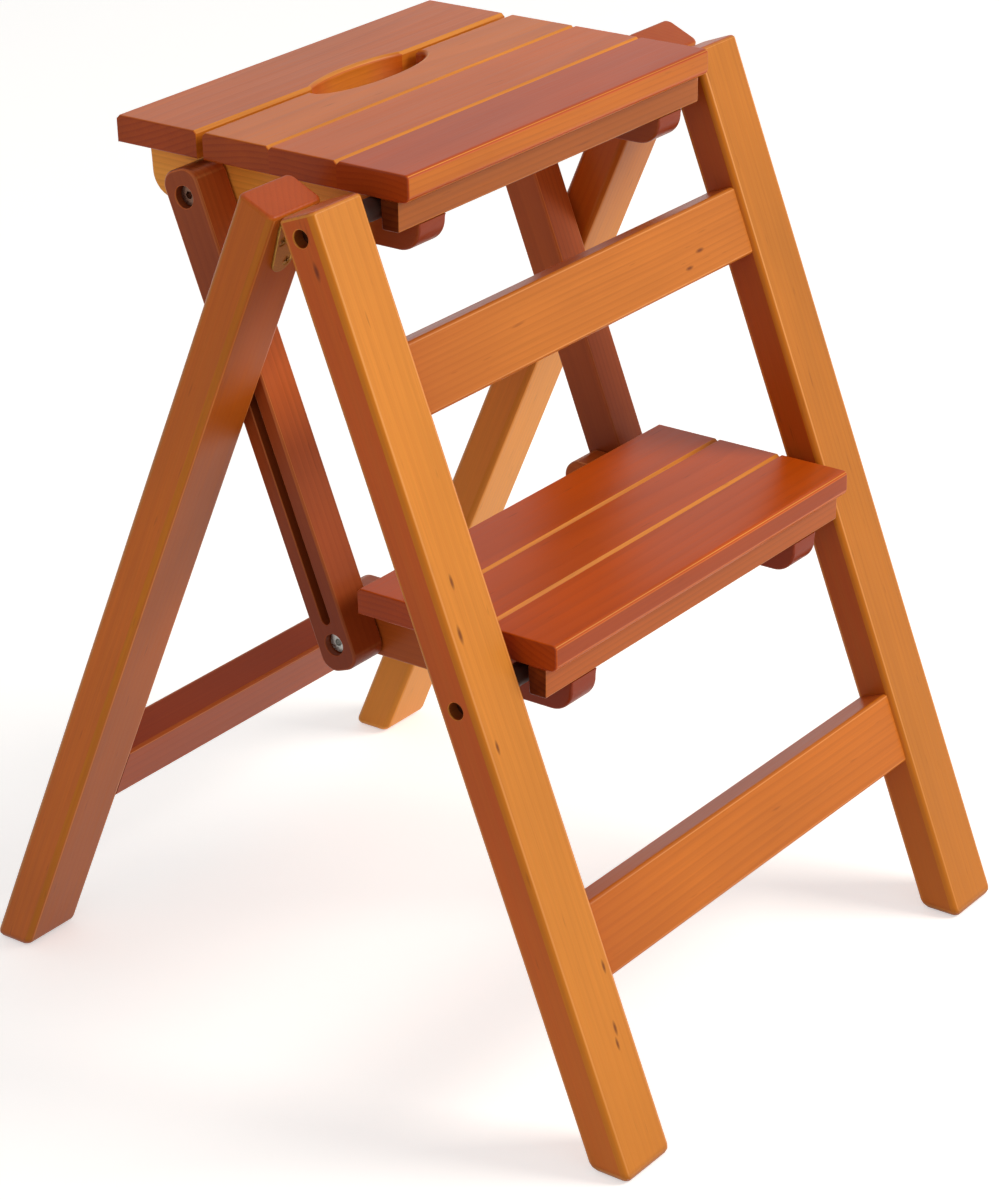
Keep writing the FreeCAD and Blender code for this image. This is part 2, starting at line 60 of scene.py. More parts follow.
# how far the side faces lie from the middle of the stool
across = {"legOut": 186.0, "legIn": 146.0, "linkOut": 141.0, "linkIn": 117.0,
          "battenOut": 116.0, "battenIn": 94.0}


def toLinear(hexColour):
    # sRGB hex to linear: each channel c is c/12.92 below 0.04045, else ((c+0.055)/1.055)^2.4
    c = np.array([int(hexColour[i:i + 2], 16) for i in (1, 3, 5)]) / 255
    return tuple(np.where(c <= 0.04045, c / 12.92, ((c + 0.055) / 1.055) ** 2.4)) + (1.0,)


def newMaterial(name):
    material = bpy.data.materials.new(name)
    material.use_nodes = True
    material.node_tree.nodes.clear()
    return material, material.node_tree


def addNode(tree, kind, settings=None):
    # Adds a node. Each setting goes to its property or its input; a socket given as a setting is linked there,
    # and a node given as one stands for its first output. Stops are the places and colours of a colour ramp
    made = tree.nodes.new(kind)
    for key, value in (settings or {}).items():
        if isinstance(value, bpy.types.Node):
            value = value.outputs[0]
        if isinstance(value, bpy.types.NodeSocket):
            tree.links.new(value, made.inputs[key])
        elif key == "stops":
            elements = made.color_ramp.elements
            elements[0].position, elements[1].position = value[0][0], value[-1][0]
            elements[0].color, elements[1].color = (*value[0][1], 1), (*value[-1][1], 1)
            for place, colour in value[1:-1]:
                elements.new(place).color = (*colour, 1)
        elif isinstance(key, int) or key in made.inputs:
            made.inputs[key].default_value = value
        else:
            setattr(made, key, value)
    return made


# Shapes


def outlineOf(corners, step=9):
    # Rounds each corner (a, b, r) of a polygon: an arc of radius r between the points where it touches both
    # sides, at a distance r / tan(half the corner) from the corner, in turns of about step degrees
    points = []
    count = len(corners)
    for i, (a, b, r) in enumerate(corners):
        corner = np.array([a, b], float)
        if r <= 0:
            points.append(corner[None])
            continue
        back = np.array(corners[i - 1][:2], float) - corner
        ahead = np.array(corners[(i + 1) % count][:2], float) - corner
        back /= np.linalg.norm(back)
        ahead /= np.linalg.norm(ahead)
        half = math.acos(np.clip(back @ ahead, -1, 1)) / 2
        middle = (back + ahead) / np.linalg.norm(back + ahead)
        centre = corner + middle * r / math.sin(half)
        start = corner + back * r / math.tan(half) - centre
        end = corner + ahead * r / math.tan(half) - centre
        turn = math.pi - 2 * half
        n = max(2, int(round(math.degrees(turn) / step)) + 1)
        t = np.linspace(0, 1, n)[:, None]
        arc = (start * np.sin((1 - t) * turn) + end * np.sin(t * turn)) / math.sin(turn)
        points.append(centre + arc)
    return np.concatenate(points)


def rectangle(a0, b0, a1, b1, r):
    return outlineOf([(a0, b0, r), (a1, b0, r), (a1, b1, r), (a0, b1, r)])


def inwards(outline):
    # Unit normals to the left of the path, lengthened at corners so that both sides move by the same amount
    ahead = np.roll(outline, -1, 0) - outline
    ahead /= np.linalg.norm(ahead, axis=1)[:, None]
    back = np.roll(ahead, 1, 0)
    normal = np.stack([-(ahead + back)[:, 1], (ahead + back)[:, 0]], 1)
    normal /= np.linalg.norm(normal, axis=1)[:, None]
    stretch = normal[:, 0] * -ahead[:, 1] + normal[:, 1] * ahead[:, 0]
    return normal / np.clip(stretch, 0.5, 1)[:, None]


def tubeFaces(rows, count):
    # Four-sided faces between neighbouring rings of count points, and one face on each end ring
    i, j = np.meshgrid(np.arange(rows - 1), np.arange(count), indexing="ij")
    nextJ = (j + 1) % count
    faces = np.stack([i * count + j, i * count + nextJ, (i + 1) * count + nextJ, (i + 1) * count + j], -1)
    ends = [list(range(count))[::-1], list(range((rows - 1) * count, rows * count))]
    return faces.reshape(-1, 4).tolist() + ends


def sweep(outline, inset, low, high, lowEdge, highEdge, spacing=14, waver=0.0, seed=0, rounds=5):
    # An outline (a, b) carried along t from low(b) to high(b). Near each end it is drawn in along inset by
    # e (1 - sin u) at a distance e (1 - cos u) from the end, which rounds the edge with radius e. Between the
    # ends the faces may waver by two slow sine waves, as sanding by hand leaves them
    def endAt(end, points):
        return end(points[:, 1]) if callable(end) else np.full(len(points), float(end))

    lowEnd, highEnd = endAt(low, outline), endAt(high, outline)
    u = np.linspace(0, math.pi / 2, rounds)
    drawnIn = [(outline + inset * lowEdge * (1 - math.sin(x)), x) for x in u]
    rings = [(points, endAt(low, points) + lowEdge * (1 - math.cos(x))) for points, x in drawnIn]
    inner = max(2, int((highEnd.mean() - lowEnd.mean()) / spacing))
    phase = np.random.default_rng(seed).uniform(0, 6.28, 6)
    for s in np.linspace(0, 1, inner + 1)[1:-1]:
        t = lowEnd + lowEdge + (highEnd - highEdge - lowEnd - lowEdge) * s
        wave = np.sin(t * 0.045 + phase[0] + outline[:, 0] * 0.11)
        wave += np.sin(t * 0.021 + phase[1] + outline[:, 1] * 0.13)
        rings.append((outline + inset * waver * (wave[:, None] / 4 + 0.5), t))
    drawnIn = [(outline + inset * highEdge * (1 - math.sin(x)), x) for x in u[::-1]]
    rings += [(points, endAt(high, points) - highEdge * (1 - math.cos(x))) for points, x in drawnIn]
    section = np.array([r[0] for r in rings])
    along = np.array([r[1] for r in rings])
    verts = np.concatenate([section, along[..., None]], 2).reshape(-1, 3)
    return verts, tubeFaces(len(rings), len(outline))


def spun(profile, steps=40):
    # A profile of (radius, distance) turned about the X axis
    r, d = np.array(profile, float).T
    u = np.linspace(0, 2 * math.pi, steps, endpoint=False)
    ring = [np.repeat(d, steps), np.outer(r, np.cos(u)).ravel(), np.outer(r, np.sin(u)).ravel()]
    return np.stack(ring, 1), tubeFaces(len(profile), steps)


def bored(radius, deep, mouth, flare=0.6, beyond=2.0):
    # A cutter for a round hole from x = deep to a mouth at x = mouth, with a small softened lip
    way = 1 if mouth > deep else -1
    u = np.linspace(0, math.pi / 2, 5)
    profile = [(radius, deep)]
    profile += [(radius + flare * (1 - math.cos(x)), mouth - way * flare * (1 - math.sin(x))) for x in u]
    profile += [(radius + flare, mouth + way * beyond)]
    return spun(profile)


def boxOf(low, high):
    # A closed box between two corners
    ends = list(zip(low, high))
    corners = np.array([(x, y, z) for z in ends[2] for y in ends[1] for x in ends[0]], float)
    return corners, [[0, 2, 3, 1], [4, 5, 7, 6], [0, 1, 5, 4], [2, 6, 7, 3], [0, 4, 6, 2], [1, 3, 7, 5]]


def turned(verts, order, place=(0, 0, 0), angle=0.0):
    # Puts local (a, b, t) on the axes named by order, turns it about X by angle degrees and moves it
    out = np.zeros_like(verts)
    for column, axis in enumerate(order):
        out[:, "xyz".index(axis)] = verts[:, column]
    c, s = math.cos(math.radians(angle)), math.sin(math.radians(angle))
    y, z = out[:, 1].copy(), out[:, 2].copy()
    out[:, 1], out[:, 2] = y * c - z * s, y * s + z * c
    return out + np.array(place)


def moved(part, place):
    return part[0] + np.array(place), part[1]


def flipped(verts, faces):
    # The same part on the other side: x changes its sign and each face runs the other way round
    return verts * (-1, 1, 1), [f[::-1] for f in faces]


def joined(parts):
    # Several parts as one: each part's faces count on from the points before it
    verts, faces, count = [], [], 0
    for v, f in parts:
        verts.append(v)
        faces += [[k + count for k in face] for face in f]
        count += len(v)
    return np.concatenate(verts), faces


def makeMesh(name, verts, faces):
    mesh = bpy.data.meshes.new(name)
    mesh.from_pydata((verts * mm).tolist(), [], faces)
    mesh.update()
    made = bpy.data.objects.new(name, mesh)
    bpy.context.scene.collection.objects.link(made)
    return made


def outwards(made):
    # Turns every face outwards
    work = bmesh.new()
    work.from_mesh(made.data)
    bmesh.ops.recalc_face_normals(work, faces=work.faces)
    work.to_mesh(made.data)
    work.free()
    return made


def carve(made, cutters):
    # Takes the cutters away from the piece, then keeps the result as its mesh
    tool = outwards(makeMesh("cutter", *joined(cutters)))
    change = made.modifiers.new("carve", "BOOLEAN")
    change.operation, change.object, change.solver = "DIFFERENCE", tool, "EXACT"
    bpy.context.view_layer.update()
    result = bpy.data.meshes.new_from_object(made.evaluated_get(bpy.context.evaluated_depsgraph_get()))
    made.modifiers.clear()
    made.data = result
    bpy.data.objects.remove(tool)
    return made


def finishPiece(made, body, material, node, smoothUpTo=32):
    # Smooth shading up to an angle in degrees; flat faces keep their own normals beside rounded edges
    made.data.materials.clear()
    made.data.materials.append(material)
    made.data.polygons.foreach_set("use_smooth", [True] * len(made.data.polygons))
    made.data.set_sharp_from_angle(angle=math.radians(smoothUpTo))
    weigh = made.modifiers.new("weigh", "WEIGHTED_NORMAL")
    weigh.keep_sharp = True
    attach(made, body)
    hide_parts(node)


# Materials


def woodMaterial(name, piece, grain="z", tilt=0.0):
    # Pine, planed and sanded, stained orange-brown and sprayed with satin clear lacquer. One solid pattern runs
    # through each bar: growth rings show as faint long streaks on the faces and as arcs on the cut ends. The
    # stain lies redder on the ends. The faces turned along one axis take a side colour of their own, partly
    # painted shade (on the seat slats painted light); the rounded long edges and bevels turn gold, partly as a
    # painted highlight, with a painted highlight line beside them. Ring, pith, warp and places are in millimetres
    look = {
        # side is partly painted shade, band partly a painted highlight and line a painted highlight
        "face": "#D68A28", "side": "#BD470D", "end": "#983A12", "band": "#BC6510", "line": "#F2A45C",
        "dashColour": "#6E2E10", "fleckColour": "#5A1E0A", "holeShadeColour": "#7E3616",
        "ring": 3.2, "ringShare": 0.16, "endShare": 0.6, "pith": (46.0, 70.0), "warp": 5.0, "blotch": 0.08,
        "rough": 0.34, "sideShare": 0.8, "sideAxis": 0, "bandShare": 0.8, "lineShare": 0.5, "seed": 0,
        "bandRange": (0.14, 0.86), "flecks": [], "dark": [], "fades": [],
    }
    look.update(piece)
    face, side, end = (toLinear(look[k]) for k in ("face", "side", "end"))
    lateFace = tuple(np.array(face) * (0.74, 0.62, 0.55, 1.0))
    lateEnd = tuple(np.array(end) * (0.8, 0.7, 0.7, 1.0))
    material, tree = newMaterial(name)
    shift = np.random.default_rng(look["seed"]).uniform(-0.3, 0.3, 3)
    lie = math.radians(tilt)
    turn = {"z": (lie, 0, 0), "x": (lie, math.radians(90), 0), "y": (math.radians(90), 0, 0)}[grain]
    coords = addNode(tree, "ShaderNodeTexCoord")
    place = coords.outputs["Object"]
    # place and normal turned so that the grain runs along Z and the front faces look along Y
    local = addNode(tree, "ShaderNodeMapping", {"Rotation": turn, "Vector": place})
    normal = addNode(tree, "ShaderNodeMapping",
                     {"vector_type": "NORMAL", "Rotation": turn, "Vector": coords.outputs["Normal"]})
    noise = {}
    # each noise has its waves for each metre along the three axes, its detail, and its own way of shifting
    for key, waves, detail, away in (
            ("wander", (9, 9, 1.6), 2.0, 30), ("fibre", (1000, 1000, 15), 3.0, 100),
            ("streak", (150, 150, 3), 2.0, 80), ("dash", (420, 420, 46), 1.0, 70), ("cloud", (22, 22, 7), 3.0, 50)):
        spot = addNode(tree, "ShaderNodeMapping", {"Scale": waves, "Location": tuple(shift * away), "Vector": local})
        noise[key] = addNode(tree, "ShaderNodeTexNoise", {"Scale": 1.0, "Detail": detail, "Vector": spot})
    # the rings turn about a pith beside the bar, and the slowest noise bends them
    centred = addNode(tree, "ShaderNodeVectorMath",
                      {"operation": "SUBTRACT", 0: noise["wander"].outputs["Color"], 1: (0.5, 0.5, 0.5)})
    swing = addNode(tree, "ShaderNodeVectorMath", {"operation": "SCALE", 0: centred, "Scale": look["warp"] * mm * 4})
    heart = addNode(tree, "ShaderNodeVectorMath",
                    {"operation": "ADD", 0: local, 1: (look["pith"][0] * mm, look["pith"][1] * mm, 0)})
    warped = addNode(tree, "ShaderNodeVectorMath", {"operation": "ADD", 0: heart, 1: swing})
    # one ring for each ring width: the wave's own period is 2 pi / (20 scale)
    rings = addNode(tree, "ShaderNodeTexWave",
                    {"wave_type": "RINGS", "rings_direction": "Z", "wave_profile": "SAW",
                     "Scale": 0.314 / (look["ring"] * mm), "Distortion": 0.0, "Vector": warped})
    ring = addNode(tree, "ShaderNodeValToRGB", {0: rings.outputs["Fac"], "stops": [
        (0.0, (0, 0, 0)), (0.45, (0.2,) * 3), (0.88, (1, 1, 1)), (1.0, (0, 0, 0))]})
    axes = addNode(tree, "ShaderNodeSeparateXYZ", {0: normal})
    sizes = [addNode(tree, "ShaderNodeMath", {"operation": "ABSOLUTE", 0: axes.outputs[k]}) for k in range(3)]
    # how far a source has come from one value to another, as a share from the third to the fourth
    share = {}
    for key, source, *values in (
            ("onEnd", sizes[2], 0.6, 0.85, 0.0, 1.0),
            ("onSide", sizes[look["sideAxis"]], 0.975, 0.995, 0.0, look["sideShare"]),
            ("alongside", sizes[2], 0.1, 0.35, 1.0, 0.0),
            ("streak", noise["streak"], 0.45, 0.8, 0.0, 0.22),
            ("dash", noise["dash"], 0.72, 0.82, 0.0, 0.35),
            ("fibreTone", noise["fibre"], 0.3, 0.7, 0.95, 1.04),
            ("cloudTone", noise["cloud"], 0.3, 0.7, 1 - look["blotch"], 1 + look["blotch"]),
            ("rough", noise["fibre"], 0.3, 0.7, look["rough"] - 0.04, look["rough"] + 0.06)):
        share[key] = addNode(tree, "ShaderNodeMapRange", {0: source, **dict(enumerate(values, 1))})
    share["ringRange"] = addNode(tree, "ShaderNodeMapRange", {
        0: share["onEnd"], 1: 0.0, 2: 1.0, 3: look["ringShare"], 4: look["endShare"]})
    # along a rounded edge the front share of the normal goes from 0 to 1: first the golden band, partly a painted
    # highlight, then the painted highlight line
    start, stop = look["bandRange"]
    ramp = addNode(tree, "ShaderNodeValToRGB", {0: sizes[1], "stops": [
        (start - 0.04, (0, 0, 0)), (start, (1, 0, 0)), (stop, (1, 0, 0)), (stop + 0.04, (0, 0, 0)),
        (0.91, (0, 0, 0)), (0.93, (0, 1, 0)), (0.98, (0, 1, 0)), (0.995, (0, 0, 0))]})
    edges = addNode(tree, "ShaderNodeSeparateColor", {0: ramp})
    for key, one, two in (("side", share["onSide"], share["alongside"]), ("end", share["onEnd"], 0.85),
                          ("onBand", edges.outputs[0], share["alongside"]),
                          ("onLine", edges.outputs[1], share["alongside"]),
                          ("ring", ring, share["ringRange"]), ("tone", share["fibreTone"], share["cloudTone"])):
        share[key] = addNode(tree, "ShaderNodeMath", {"operation": "MULTIPLY", 0: one, 1: two})
    for key in ("band", "line"):
        share[key] = addNode(tree, "ShaderNodeMath", {
            "operation": "MULTIPLY", 0: share["on" + key.capitalize()], 1: look[key + "Share"]})
    # the layers of colour over the face's own, from the lowest up: how much, what and how it is laid on
    layers = [(share["side"], side, "MIX"), (share["end"], end, "MIX"),
              (share["band"], toLinear(look["band"]), "MIX"), (share["line"], toLinear(look["line"]), "MIX"),
              (share["ring"], lateEnd, "MIX"), (share["streak"], lateFace, "MIX"),
              (1.0, share["tone"], "MULTIPLY"), (share["dash"], toLinear(look["dashColour"]), "MIX")]
    parts = addNode(tree, "ShaderNodeSeparateXYZ", {0: place})
    for axis, low, high, tint, most in look["fades"]:
        # a slow change of colour between two places on one axis, used by several pieces for painted shade and by the
        # rear right leg for painted light
        amount = addNode(tree, "ShaderNodeMapRange", {
            0: parts.outputs["xyz".index(axis)], 1: low * mm, 2: high * mm, 3: 0.0, 4: most})
        layers.append((amount, toLinear(tint), "MIX"))
    for spot, size in look["flecks"]:
        # a small dark resin mark, longer along the grain
        away = addNode(tree, "ShaderNodeVectorMath",
                       {"operation": "SUBTRACT", 0: place, 1: tuple(np.array(spot) * mm)})
        lying = addNode(tree, "ShaderNodeMapping", {"Rotation": turn, "Vector": away})
        squeezed = addNode(tree, "ShaderNodeVectorMath", {"operation": "MULTIPLY", 0: lying, 1: (1, 1, 0.3)})
        reach = addNode(tree, "ShaderNodeVectorMath", {"operation": "LENGTH", 0: squeezed})
        amount = addNode(tree, "ShaderNodeMapRange", {
            0: reach.outputs["Value"], 1: size * mm * 0.3, 2: size * mm, 3: 0.75, 4: 0.0})
        layers.append((amount, toLinear(look["fleckColour"]), "MIX"))
    for spot, half in look["dark"]:
        # painted shade inside a hole or slot: a darker colour in a box around it that stops short of the mouth
        away = addNode(tree, "ShaderNodeVectorMath",
                       {"operation": "SUBTRACT", 0: place, 1: tuple(np.array(spot) * mm)})
        lying = addNode(tree, "ShaderNodeMapping", {"Rotation": turn, "Vector": away})
        shares = addNode(tree, "ShaderNodeVectorMath",
                         {"operation": "DIVIDE", 0: lying, 1: tuple(np.array(half) * mm)})
        positive = addNode(tree, "ShaderNodeVectorMath", {"operation": "ABSOLUTE", 0: shares})
        parts = addNode(tree, "ShaderNodeSeparateXYZ", {0: positive})
        wider = addNode(tree, "ShaderNodeMath", {"operation": "MAXIMUM", 0: parts.outputs[0], 1: parts.outputs[1]})
        widest = addNode(tree, "ShaderNodeMath", {"operation": "MAXIMUM", 0: wider, 1: parts.outputs[2]})
        amount = addNode(tree, "ShaderNodeMapRange", {0: widest, 1: 0.97, 2: 1.0, 3: 0.85, 4: 0.0})
        layers.append((amount, toLinear(look["holeShadeColour"]), "MIX"))
    colour = face
    for amount, tint, blend in layers:
        colour = addNode(tree, "ShaderNodeMix", {
            "data_type": "RGBA", "blend_type": blend, 0: amount, 6: colour, 7: tint}).outputs[2]
    height = addNode(tree, "ShaderNodeMath", {"operation": "MULTIPLY_ADD", 0: ring, 1: 0.3, 2: noise["fibre"]})
    bump = addNode(tree, "ShaderNodeBump", {"Strength": 0.12, "Distance": 0.0002, "Height": height})
    shader = addNode(tree, "ShaderNodeBsdfPrincipled", {
        "IOR": 1.45, "Specular IOR Level": 0.2, "Base Color": colour, "Roughness": share["rough"], "Normal": bump})
    addNode(tree, "ShaderNodeOutputMaterial", {"Surface": shader})
    return material


def metalMaterial(name, look):
    # Plated steel or brass: a metal colour with fine mottling in tone and in shine. Above a height in millimetres
    # the metal is browned
    material, tree = newMaterial(name)
    coords = addNode(tree, "ShaderNodeTexCoord")
    place = coords.outputs["Object"]
    grain = addNode(tree, "ShaderNodeTexNoise", {"Scale": look["scale"], "Detail": 4.0, "Vector": place})
    colour = addNode(tree, "ShaderNodeMix", {
        "data_type": "RGBA", 0: grain, 6: toLinear(look["dark"]), 7: toLinear(look["light"])})
    parts = addNode(tree, "ShaderNodeSeparateXYZ", {0: place})
    above = look.get("above", 900) * mm
    browned = addNode(tree, "ShaderNodeMapRange", {0: parts.outputs[2], 1: above, 2: above + 0.01, 3: 0.0, 4: 0.85})
    tinted = addNode(tree, "ShaderNodeMix", {
        "data_type": "RGBA", 0: browned, 6: colour.outputs[2], 7: toLinear("#6A3C20")})
    roughness = addNode(tree, "ShaderNodeMapRange", {
        0: grain, 1: 0.3, 2: 0.7, 3: look["rough"][0], 4: look["rough"][1]})
    bump = addNode(tree, "ShaderNodeBump", {"Strength": 0.12, "Distance": 0.0001, "Height": grain})
    shader = addNode(tree, "ShaderNodeBsdfPrincipled", {
        "Metallic": 1.0, "Base Color": tinted.outputs[2], "Roughness": roughness, "Normal": bump})
    addNode(tree, "ShaderNodeOutputMaterial", {"Surface": shader})
    return material


def nylonMaterial(name, look):
    # Moulded nylon: matt, with the faint cloudiness of the mould
    material, tree = newMaterial(name)
    coords = addNode(tree, "ShaderNodeTexCoord")
    cloud = addNode(tree, "ShaderNodeTexNoise", {
        "Scale": look["scale"], "Detail": 3.0, "Vector": coords.outputs["Object"]})
    colour = addNode(tree, "ShaderNodeMix", {
        "data_type": "RGBA", 0: cloud, 6: toLinear(look["dark"]), 7: toLinear(look["light"])})
    roughness = addNode(tree, "ShaderNodeMapRange", {0: cloud, 3: look["rough"][0], 4: look["rough"][1]})
    shader = addNode(tree, "ShaderNodeBsdfPrincipled", {
        "IOR": 1.53, "Base Color": colour.outputs[2], "Roughness": roughness})
    addNode(tree, "ShaderNodeOutputMaterial", {"Surface": shader})
    return material


agedBrass = metalMaterial("agedBrassPlate", {
    "dark": "#8E6A2C", "light": "#CDA656", "scale": 900.0, "rough": (0.36, 0.5)})
zincSteel = metalMaterial("zincPlatedSteel", {
    "dark": "#8E8C88", "light": "#C9C7C2", "scale": 700.0, "rough": (0.22, 0.4), "above": 400})
blackSteel = metalMaterial("blackOxideSteel", {
    "dark": "#4A2E22", "light": "#6E4632", "scale": 700.0, "rough": (0.35, 0.5)})
# the spacers' near-black brown stands for the shade between the legs and the battens: painted shade on moulded nylon
shadeDarkNylon = nylonMaterial("nylonDarkAsShade", {
    "dark": "#2C150D", "light": "#3C1E12", "scale": 300.0, "rough": (0.45, 0.6)})
print("materials")

# Frames


def legPieces():
    # Bars with rounded edges, leaning, with feet cut level; the front ones have sunk holes for the pivot bolts
    leg = {"depth": 24.0, "edge": 4.0, "topEdge": 2.2, "footEdge": 6.0, "waver": 0.10,
           "boltHole": 4.7, "boltHoleDepth": 12.0, "hingeGap": 2.2, "aboveHinge": 2.2,
           "shade": (6.4, 5.9, 5.9), "shadeIn": 1.2}  # the box of painted shade in a bolt hole, and how far in it lies
    footFade = ("z", 7, 0, "#5A2008", 0.6)
    # the front legs' side colour, redder and darker than the face, is partly painted shade
    frontWood = {
        "left": {"face": "#DC8A34", "side": "#BD430D", "seed": 11, "flecks": frontLegFlecks()},
        "right": {"face": "#C67828", "side": "#A83C0A", "seed": 23}}
    # the upper part of a rear leg lies in the lap of both frames, where it is coloured redder and darker as painted
    # shade from the front legs; the rear left leg's front faces take its side colour as painted shade too, and the
    # rear right leg's brighter face and golden lower part are painted light
    rearWood = {
        "left": {"face": "#CA681C", "side": "#BB611A", "sideAxis": 1, "sideShare": 1.0, "band": "#C27414",
                 "seed": 31, "fades": [("z", 330, 450, "#8A340C", 0.2), footFade]},
        "right": {"face": "#F09C34", "sideShare": 0.6, "seed": 47,
                  "fades": [("z", 330, 450, "#A03C10", 0.55), ("z", 300, 60, "#F0A040", 0.5)]}}
    d, e = leg["depth"], leg["footEdge"]
    inX, outX = across["legIn"], across["legOut"]
    tanFront, tanRear = math.tan(math.radians(lean["front"])), math.tan(math.radians(lean["rear"]))
    outline = rectangle(inX, 0, outX, d, leg["edge"])
    # the foot's rounding is wider than the long edges', so the outline is drawn in towards a smaller one
    inset = (rectangle(inX + e, e, outX - e, d - e, 1) - outline) / e
    pivots = (seatPivot, stepPivot)
    for side, sign in sides.items():
        # the front legs carry a strong painted highlight line beside their rounded long edges
        look = dict(frontWood[side], end="#C0501C", band="#C87010", lineShare=0.8, ringShare=0.1, endShare=0.35,
                    pith=(60.0, 40.0), fades=[("z", 180, 0, "#CC7A24", 0.45), footFade])
        part = sweep(outline, inset, lambda b: b * tanFront, legTop, e, leg["topEdge"],
                     waver=leg["waver"], seed=look["seed"])
        part = (turned(part[0], "xyz", frontOrigin, -lean["front"]), part[1])
        holes = [moved(bored(leg["boltHole"], outX - leg["boltHoleDepth"], outX), (0, p[1], p[2])) for p in pivots]
        if sign < 0:
            part = flipped(*part)
            holes = [flipped(*h) for h in holes]
        made = carve(outwards(makeMesh("front_leg_" + side + "_bar", *part)), holes)
        # painted shade inside the bolt holes
        shadeX = sign * (outX - leg["boltHoleDepth"] / 2 - leg["shadeIn"])
        look["dark"] = [((shadeX, p[1], p[2]), leg["shade"]) for p in pivots]
        wood = woodMaterial("stainedPineFrontLeg" + side.capitalize(), look, "z", lean["front"])
        finishPiece(made, "front_frame", wood, "front_leg_" + side)
    rearOutline = outline + (0, leg["hingeGap"])
    for side, sign in sides.items():
        look = dict(rearWood[side], end="#BE5020", endShare=0.35, ringShare=0.12, pith=(50.0, -60.0))
        part = sweep(rearOutline, inset, lambda b: -hingeAbove - b * tanRear, leg["aboveHinge"],
                     e, leg["topEdge"], waver=leg["waver"], seed=look["seed"])
        part = (turned(part[0], "xyz", hingePoint, lean["rear"]), part[1])
        if sign < 0:
            part = flipped(*part)
        made = outwards(makeMesh("rear_leg_" + side + "_bar", *part))
        wood = woodMaterial("stainedPineRearLeg" + side.capitalize(), look, "z", -lean["rear"])
        finishPiece(made, "rear_frame", wood, "rear_leg_" + side)
    print("legs")


def frontLegFlecks():
    # Small dark marks on the left front leg: across its front face from the outer edge, up from the foot, size
    marks = [(14.0, 329.0, 1.5), (8.0, 303.0, 1.8), (8.5, 242.0, 1.4),
             (33.0, 110.0, 1.4), (27.0, 78.0, 1.5), (25.0, 70.0, 1.3)]
    found = [((-186, -47.1, 463.4), 1.8)]  # one on its outer face
    for x, up, size in marks:
        place = frontOrigin + frontUp * up
        found.append(((x - across["legOut"], place[1], place[2]), size))
    return found


legPieces()


def railPieces():
    # Straight bars between the legs, a little into them, so that no light shows at the shoulders
    rail = {"edge": 2.2, "intoLeg": 0.6}
    # bottom and height run up along the legs, setback and thickness backwards from the legs' front faces
    upper = {"bottom": 408.5, "height": 39.0, "thickness": 19.0, "setback": 3.0}
    lower = {"bottom": 101.0, "height": 42.0, "thickness": 19.0, "setback": 3.0}
    rear = {"bottom": 103.5 - hingeAbove, "height": 36.0, "thickness": 22.0, "setback": 3.2}
    frontWood = {"side": "#A84A1C", "seed": 65, "pith": (70.0, 30.0), "bandShare": 0.4,
                 "fades": [("x", -60, -150, "#B0541C", 0.45)]}
    upperFlecks = [((100.7, -77.7, 396.3), 1.4), ((87.6, -80.0, 390.2), 1.3)]
    rearWood = {"face": "#B44E12", "side": "#96360E", "seed": 77, "pith": (70.0, 30.0), "bandShare": 0.3}
    end = across["legIn"] + rail["intoLeg"]
    for node, size, body, place, angle, wood, look in (
            ("front_rail_upper", upper, "front_frame", frontOrigin, -lean["front"], "stainedPineRailUpper",
             dict(frontWood, face="#CE782C", flecks=upperFlecks)),
            ("front_rail_lower", lower, "front_frame", frontOrigin, -lean["front"], "stainedPineRailLower",
             dict(frontWood, face="#CE7222")),
            ("rear_rail", rear, "rear_frame", hingePoint, lean["rear"], "stainedPineRearRail", rearWood)):
        front, bottom = size["setback"], size["bottom"]
        outline = rectangle(front, bottom, front + size["thickness"], bottom + size["height"], rail["edge"])
        part = sweep(outline, inwards(outline), -end, end, 0, 0)
        made = outwards(makeMesh(node + "_bar", turned(part[0], "yzx", place, angle), part[1]))
        finishPiece(made, body, woodMaterial(wood, look, "x", -angle), node)
    print("rails")


railPieces()

# Seat and step


